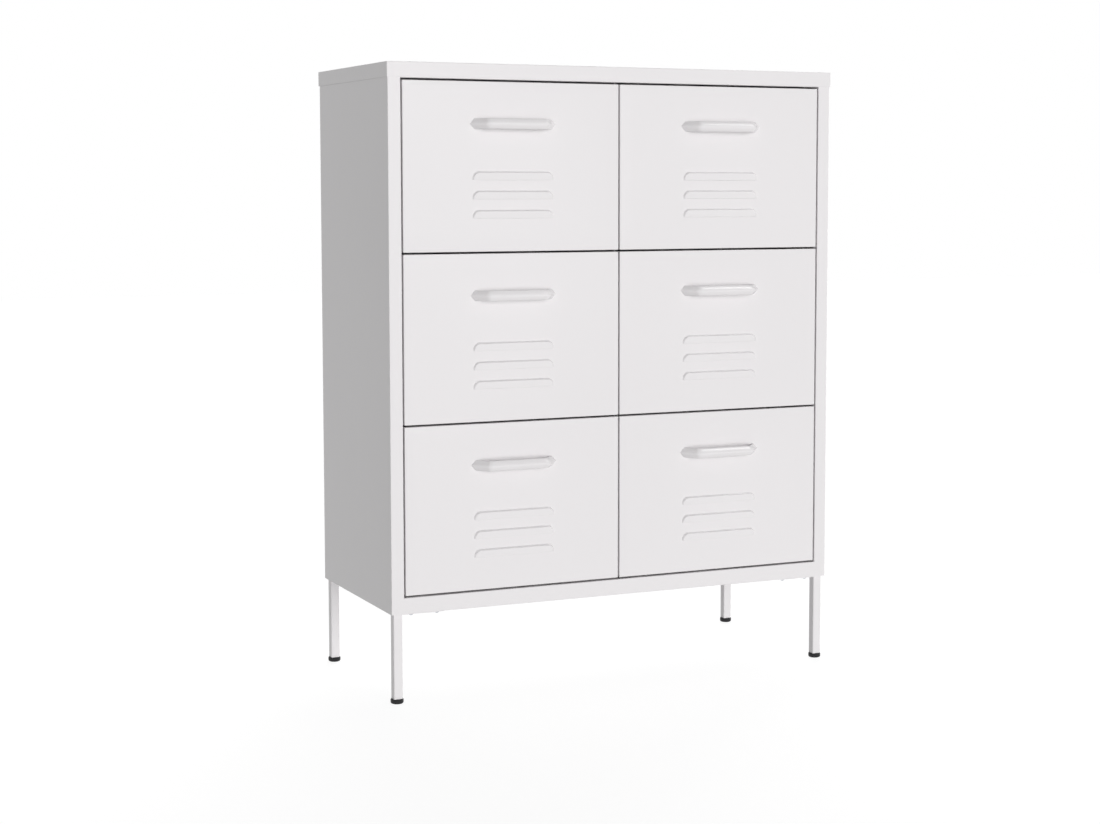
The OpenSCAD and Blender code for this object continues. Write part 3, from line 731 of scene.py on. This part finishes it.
GLIDE_SAMPLES = 64       # round a glide
EDGE_SAMPLES = 7         # over its rounded edges
SOLE_HOLLOW = 0.3 * MM   # depth of the hollow under a glide
SOLE_SLOPE = 0.6 * MM    # width of the slope round that hollow
PLUG_POWER = 8           # squares the plug's outline
PLUG_BEVEL = 1 * MM      # height of the bevel at the plug's top
PLUG_TOP = 0.86          # width left at the top, as a share
GAP_ANGLES_BEFORE, GAP_ANGLES_AFTER = (-45, -33, -23), (23, 33)  # degrees from an arm's middle
ARM_ANGLES = (-1.3, -1, -0.4, 0.4, 1, 1.3)      # shares of the angle to the corner of an arm's end
LEAST_SINE = 1e-6        # keeps an arm's side finite along its middle
RECESS_FLOOR = 0.5       # the recess's outline at its floor, as a share
RECESS_NECK = 0.9        # and at the foot of its rim
RECESS_RIM = 0.25 * MM   # depth of that rim
DOME_PARTS = (0.62, 0.74, 0.86, 0.93, 0.97)     # radii over the dome, as shares of the head's
HEAD_SIDE = ((1, 0.55), (1, 0.2), (0.985, 0))   # shares of the head's radius and its edge's height
TIP_BEVEL = 0.4 * MM     # length of the bevel at a shank's tip
TIP_WIDTH = 0.75         # the tip's radius, as a share of the shank's
HEAD_TURNS = {"down": ([0, 1, 2], (1, -1, -1)), "back": ([0, 2, 1], (-1, 1, 1))}


def revolved(profile, angle):
    """A profile of radii and heights turned about Z, closed by poles where the radius is 0. A
    radius may also be an array with one value for each angle."""
    radius = np.array([np.broadcast_to(r, angle.shape) for r, _ in profile])
    height = np.array([np.broadcast_to(z, angle.shape) for _, z in profile])
    return np.stack([radius * np.cos(angle), radius * np.sin(angle), height], axis=-1)


def glide_surface(sizes, width, top):
    """A round glide with a shallow hollow under it, whose profile ends in a square plug, a
    squared oval of half the plug's width each way."""
    angle = full_turn(GLIDE_SAMPLES)
    plug = squared_oval(angle, 1, 1, PLUG_POWER) * sizes.plug_width / 2
    turn = np.linspace(0, math.pi / 2, EDGE_SAMPLES)
    edge, rim, radius, height = sizes.glide_edge, sizes.glide_rim, width / 2, sizes.glide_height
    sole = [(0, SOLE_HOLLOW), (radius / 2, SOLE_HOLLOW), (radius / 2 + SOLE_SLOPE, 0)]
    lower = [(radius - edge * (1 - math.sin(t)), edge * (1 - math.cos(t))) for t in turn]
    upper = [(radius - rim * (1 - math.cos(t)), height - rim * (1 - math.sin(t))) for t in turn]
    plug_rows = [(plug, height), (plug, top - PLUG_BEVEL), (plug * PLUG_TOP, top), (0, top)]
    return revolved([*sole, *lower, *upper, *plug_rows], angle)


def screw_surface(sizes, head, head_height, shank_length):
    """A domed screw with a cross recess, seat at Z = 0 and head up. The recess is the polar
    outline r = min(arm / cos a, width / 2 |sin a|) of the nearest arm, which narrows as it
    sinks and blends outwards into the round head."""
    step = math.atan2(sizes.cross_width / 2, sizes.cross_arm)
    across = np.concatenate([
        np.radians(GAP_ANGLES_BEFORE), step * np.array(ARM_ANGLES), np.radians(GAP_ANGLES_AFTER)])
    angle = (np.arange(4)[:, None] * math.pi / 2 + across).reshape(-1)
    slant = np.tile(across, 4)
    side = sizes.cross_width / 2 / np.maximum(np.abs(np.sin(slant)), LEAST_SINE)
    cross = np.minimum(sizes.cross_arm / np.cos(slant), side)

    def dome(radius):
        return head_height - sizes.dome + np.sqrt(sizes.dome ** 2 - radius ** 2)

    floor = head_height - sizes.cross_depth
    edge = dome(head * DOME_PARTS[-1])
    rows = [(0, floor), (cross * RECESS_FLOOR, floor), (cross * RECESS_NECK, dome(cross) - RECESS_RIM)]
    rows += [(cross, dome(cross))]
    rows += [(head * part, dome(head * part)) for part in DOME_PARTS]
    rows += [(head * part, edge * lift) for part, lift in HEAD_SIDE]
    rows += [(sizes.shank, 0), (sizes.shank, -shank_length + TIP_BEVEL)]
    rows += [(sizes.shank * TIP_WIDTH, -shank_length), (0, -shank_length)]
    return revolved(rows, angle)


def screws_at(points, places, way):
    """Copies of a screw at the places, turned so that its head points that way, by the order and
    signs of its axes in HEAD_TURNS."""
    order, signs = HEAD_TURNS[way]
    turned = points[..., order] * signs
    return [surface(turned + place, wrap=True, flip=True) for place in places]


class CABINET_OT_fit_glides(bpy.types.Operator):
    """Makes the four plastic glides with their plugs"""
    bl_idname = "cabinet.fit_glides"
    bl_label = "Fit Glides"

    def execute(self, context):
        sizes = context.scene.cabinet_fixing
        low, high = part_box(f"foot_{CORNERS[0]}")
        points = glide_surface(sizes, high.x - low.x, high.z)
        glide = make_mesh("glide", [surface(points, wrap=True)])
        for corner in CORNERS:
            low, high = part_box(f"foot_{corner}")
            offset = ((low.x + high.x) / 2, (low.y + high.y) / 2, 0)
            place_piece(f"{corner}_glide", glide, "cabinet",
                        [f"foot_{corner}"], "black_plastic", offset)
        return {"FINISHED"}


class CABINET_OT_drive_screws(bpy.types.Operator):
    """Makes the screws of the legs, the back and the drawers, with cross recesses"""
    bl_idname = "cabinet.drive_screws"
    bl_label = "Drive Screws"

    def leg_screws(self, sizes):
        low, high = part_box("leg_screws")
        seat = low.z + sizes.leg_head_height
        screw = screw_surface(sizes, sizes.leg_head, sizes.leg_head_height, high.z - seat)
        near, far, inset = sizes.plate_near, sizes.plate_far, sizes.plate_inset
        plan = np.array([(near, inset, 0), (far, inset, 0), (inset, near, 0), (inset, far, 0)])
        places = []
        for corner in CORNERS:
            low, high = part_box(f"leg_{corner}")
            inwards = (1 if "left" in corner else -1, 1 if "front" in corner else -1, 1)
            outer_x = low.x if "left" in corner else high.x
            outer_y = low.y if "front" in corner else high.y
            places += list(plan * inwards + (outer_x, outer_y, seat))
        mesh = make_mesh("leg_screws", screws_at(screw, places, "down"))
        place_piece("leg_plate_screws", mesh, "cabinet", ["leg_screws"], "zinc_plated_steel")

    def back_screws(self, sizes):
        low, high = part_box("back_screws")
        seat = high.y - sizes.back_head_height
        screw = screw_surface(sizes, sizes.back_head, sizes.back_head_height, seat - low.y)
        side = high.x - sizes.back_head
        rows = np.linspace(low.z + sizes.back_head, high.z - sizes.back_head, sizes.back_rows)
        places = [(x, seat, z) for x in (-side, sizes.back_middle, side) for z in rows]
        mesh = make_mesh("back_screws", screws_at(screw, places, "back"))
        place_piece("back_panel_screws", mesh, "cabinet", ["back_screws"], "zinc_plated_steel")

    def drawer_screws(self, sizes, pitch, drawer):
        low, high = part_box(f"{drawer}_screws")
        handle_low, handle_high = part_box(f"{drawer}_handle")
        head, head_height = sizes.drawer_head, sizes.drawer_head_height
        handle_screw = screw_surface(sizes, head, head_height, sizes.handle_shank)
        tray_screw = screw_surface(sizes, head, head_height, sizes.tray_shank)
        middle = (handle_low.x + handle_high.x) / 2
        level = (handle_low.z + handle_high.z) / 2
        seat = low.y + sizes.handle_shank
        at_handle = [(middle + side * pitch / 2, seat, level) for side in (-1, 1)]
        rows = (low.z + head, low.z + head + sizes.tray_rise)
        at_tray = [(x, high.y - head_height, z) for x in (low.x + head, high.x - head) for z in rows]
        surfaces = screws_at(handle_screw, at_handle, "back") + screws_at(tray_screw, at_tray, "back")
        mesh = make_mesh(f"{drawer}_screws", surfaces)
        place_piece(f"{drawer}_drawer_screws", mesh, f"{drawer}_drawer",
                    [f"{drawer}_screws"], "zinc_plated_steel")

    def execute(self, context):
        sizes = context.scene.cabinet_fixing
        self.leg_screws(sizes)
        self.back_screws(sizes)
        for drawer in DRAWERS:
            self.drawer_screws(sizes, context.scene.cabinet_handle.screw_pitch, drawer)
        return {"FINISHED"}


# ---- stage ----

WHITE = (1, 1, 1, 1)
FLOOR_HALF = 12          # half the floor's side
FLOOR_COLOUR = (0.2, 0.2, 0.2, 1)
FLOOR_LIFT = 0.9         # glow that lifts the floor to white where it is seen
FLOOR_BOUNCE = 1.25      # glow that lights the object, times the ambient light
HORIZON = 1.2            # light from the horizon, times the ambient light
ZENITH = 0.4             # light from straight above, times the ambient light
KEY_LAMP = {"spread_angle": 36, "azimuth": 6, "elevation": 2.5}
REAR_LAMP = {"spread_angle": 40, "azimuth": 150, "elevation": 28}
STRIP_LAMP = {"width": 0.22, "height": 1.5, "azimuth": 56, "elevation": 45, "distance": 3.2}
SENSOR_WIDTH = 36        # millimetres
VIEW_END = 60            # farthest that the camera sees


def seen_rays(tree):
    """1 for a ray from the camera, a reflection or glass, and 0 for any other."""
    path = tree.nodes.new("ShaderNodeLightPath")
    total = path.outputs["Is Camera Ray"]
    for kind in ("Is Glossy Ray", "Is Transmission Ray"):
        adder = tree.nodes.new("ShaderNodeMath")
        adder.operation = "MAXIMUM"
        tree.links.new(total, adder.inputs[0])
        tree.links.new(path.outputs[kind], adder.inputs[1])
        total = adder.outputs[0]
    return total


def seen_or_not(tree, seen, unseen, output):
    """Leads one shader to the output for the rays that are seen, and another for the rest."""
    pick = tree.nodes.new("ShaderNodeMixShader")
    tree.links.new(seen_rays(tree), pick.inputs["Fac"])
    tree.links.new(unseen.outputs[0], pick.inputs[1])
    tree.links.new(seen.outputs[0], pick.inputs[2])
    tree.links.new(pick.outputs[0], output.inputs["Surface"])


def lay_floor(studio):
    """A wide pale floor. Seen directly or in a reflection, it is lifted to white and keeps a trace
    of the object's shadow. For any other ray it glows evenly with FLOOR_BOUNCE."""
    half = FLOOR_HALF
    mesh = bpy.data.meshes.new("floor")
    corners = [(-half, -half, 0), (half, -half, 0), (half, half, 0), (-half, half, 0)]
    mesh.from_pydata(corners, [], [(0, 1, 2, 3)])
    floor = bpy.data.objects.new("floor", mesh)
    bpy.context.scene.collection.objects.link(floor)
    material = bpy.data.materials.new("floor_paper")
    material.use_nodes = True
    tree = material.node_tree
    tree.nodes.clear()
    even = tree.nodes.new("ShaderNodeEmission")
    even.inputs["Strength"].default_value = FLOOR_BOUNCE * studio.ambient
    matte = tree.nodes.new("ShaderNodeBsdfDiffuse")
    matte.inputs["Color"].default_value = FLOOR_COLOUR
    lift = tree.nodes.new("ShaderNodeEmission")
    lift.inputs["Strength"].default_value = FLOOR_LIFT
    paper = tree.nodes.new("ShaderNodeAddShader")
    tree.links.new(matte.outputs[0], paper.inputs[0])
    tree.links.new(lift.outputs[0], paper.inputs[1])
    seen_or_not(tree, paper, even, tree.nodes.new("ShaderNodeOutputMaterial"))
    mesh.materials.append(material)
    floor.visible_shadow = False


def light_world(studio):
    """White where it is seen, and otherwise a soft light that fades from the horizon upwards."""
    world = bpy.data.worlds.new("studio")
    bpy.context.scene.world = world
    world.use_nodes = True
    tree = world.node_tree
    tree.nodes.clear()
    direction = tree.nodes.new("ShaderNodeTexCoord")
    height = tree.nodes.new("ShaderNodeSeparateXYZ")
    fall = tree.nodes.new("ShaderNodeMapRange")
    fall.inputs["To Min"].default_value = HORIZON * studio.ambient
    fall.inputs["To Max"].default_value = ZENITH * studio.ambient
    soft = tree.nodes.new("ShaderNodeBackground")
    soft.inputs["Color"].default_value = WHITE
    white = tree.nodes.new("ShaderNodeBackground")
    white.inputs["Color"].default_value = WHITE
    tree.links.new(direction.outputs["Generated"], height.inputs[0])
    tree.links.new(height.outputs["Z"], fall.inputs["Value"])
    tree.links.new(fall.outputs["Result"], soft.inputs["Strength"])
    seen_or_not(tree, white, soft, tree.nodes.new("ShaderNodeOutputWorld"))


def hang_lamp(lamp, azimuth, elevation, distance=0):
    """Hangs a lamp round the cabinet's middle and turns it inwards. Its azimuth is 0 in front of
    the drawers and grows to the right."""
    holder = bpy.data.objects.new(lamp.name, lamp)
    across, up = math.radians(azimuth), math.radians(elevation)
    way = np.array([math.sin(across) * math.cos(up), -math.cos(across) * math.cos(up), math.sin(up)])
    holder.location = np.mean(CAD_BOX, axis=0) + distance * way
    holder.rotation_euler = (math.pi / 2 - up, 0, across)
    bpy.context.scene.collection.objects.link(holder)
    return holder


def add_sun(name, strength, spread_angle, azimuth, elevation):
    """A soft far lamp that is left out of the reflections."""
    lamp = bpy.data.lights.new(name, "SUN")
    lamp.energy = strength
    lamp.angle = math.radians(spread_angle)
    hang_lamp(lamp, azimuth, elevation).visible_glossy = False


def add_strip(name, power, width, height, azimuth, elevation, distance):
    """A tall lamp that shows only as a highlight in the finishes."""
    lamp = bpy.data.lights.new(name, "AREA")
    lamp.energy = power
    lamp.shape = "RECTANGLE"
    lamp.size, lamp.size_y = width, height
    holder = hang_lamp(lamp, azimuth, elevation, distance)
    holder.visible_camera = False
    holder.visible_diffuse = False


def aim_camera(studio):
    """The camera of the photograph's view, level across and dipped a little."""
    camera = bpy.data.objects.new("camera", bpy.data.cameras.new("camera"))
    camera.data.sensor_width = SENSOR_WIDTH
    camera.data.lens = studio.camera_lens
    camera.data.shift_x = studio.shift_x
    camera.data.shift_y = studio.shift_y
    camera.data.clip_end = VIEW_END
    camera.location = studio.camera_place
    camera.rotation_euler = (math.pi / 2 - studio.camera_pitch, 0, -studio.camera_yaw)
    bpy.context.scene.collection.objects.link(camera)
    bpy.context.scene.camera = camera


class CABINET_OT_set_stage(bpy.types.Operator):
    """Lays the floor, lights it softly and aims the camera"""
    bl_idname = "cabinet.set_stage"
    bl_label = "Set Stage"

    def execute(self, context):
        studio = context.scene.cabinet_studio
        context.scene.view_settings.view_transform = "Standard"
        lay_floor(studio)
        light_world(studio)
        add_sun("key", studio.key_strength, **KEY_LAMP)
        add_strip("strip", studio.strip_power, **STRIP_LAMP)
        add_sun("rear", studio.rear_strength, **REAR_LAMP)
        aim_camera(studio)
        return {"FINISHED"}


class CABINET_PT_tools(bpy.types.Panel):
    """Lists the settings and the steps"""
    bl_idname = "CABINET_PT_tools"
    bl_label = "Cabinet"
    bl_space_type = "VIEW_3D"
    bl_region_type = "UI"
    bl_category = "Cabinet"

    def draw(self, context):
        for group in SETTINGS:
            box = self.layout.box()
            settings = getattr(context.scene, group)
            for name in settings.bl_rna.properties.keys():
                if name not in ("rna_type", "name"):
                    box.prop(settings, name)
        for step in STEPS:
            self.layout.operator(step.bl_idname)


SETTINGS = {
    "cabinet_finish": FinishSettings,
    "cabinet_front": FrontSizes,
    "cabinet_handle": HandleSizes,
    "cabinet_fixing": FixingSizes,
    "cabinet_studio": StudioSettings,
}
STEPS = (
    CABINET_OT_finish_parts,
    CABINET_OT_press_fronts,
    CABINET_OT_bend_handles,
    CABINET_OT_fit_glides,
    CABINET_OT_drive_screws,
    CABINET_OT_set_stage,
)


def register():
    for group, kind in SETTINGS.items():
        bpy.utils.register_class(kind)
        setattr(bpy.types.Scene, group, bpy.props.PointerProperty(type=kind))
    for kind in (*STEPS, CABINET_PT_tools):
        bpy.utils.register_class(kind)


def unregister():
    for kind in (CABINET_PT_tools, *STEPS):
        bpy.utils.unregister_class(kind)
    for group, kind in SETTINGS.items():
        delattr(bpy.types.Scene, group)
        bpy.utils.unregister_class(kind)


def main():
    """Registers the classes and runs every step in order."""
    register()
    bpy.ops.cabinet.finish_parts()
    bpy.ops.cabinet.press_fronts()
    bpy.ops.cabinet.bend_handles()
    bpy.ops.cabinet.fit_glides()
    bpy.ops.cabinet.drive_screws()
    bpy.ops.cabinet.set_stage()


if __name__ == "__main__":
    main()
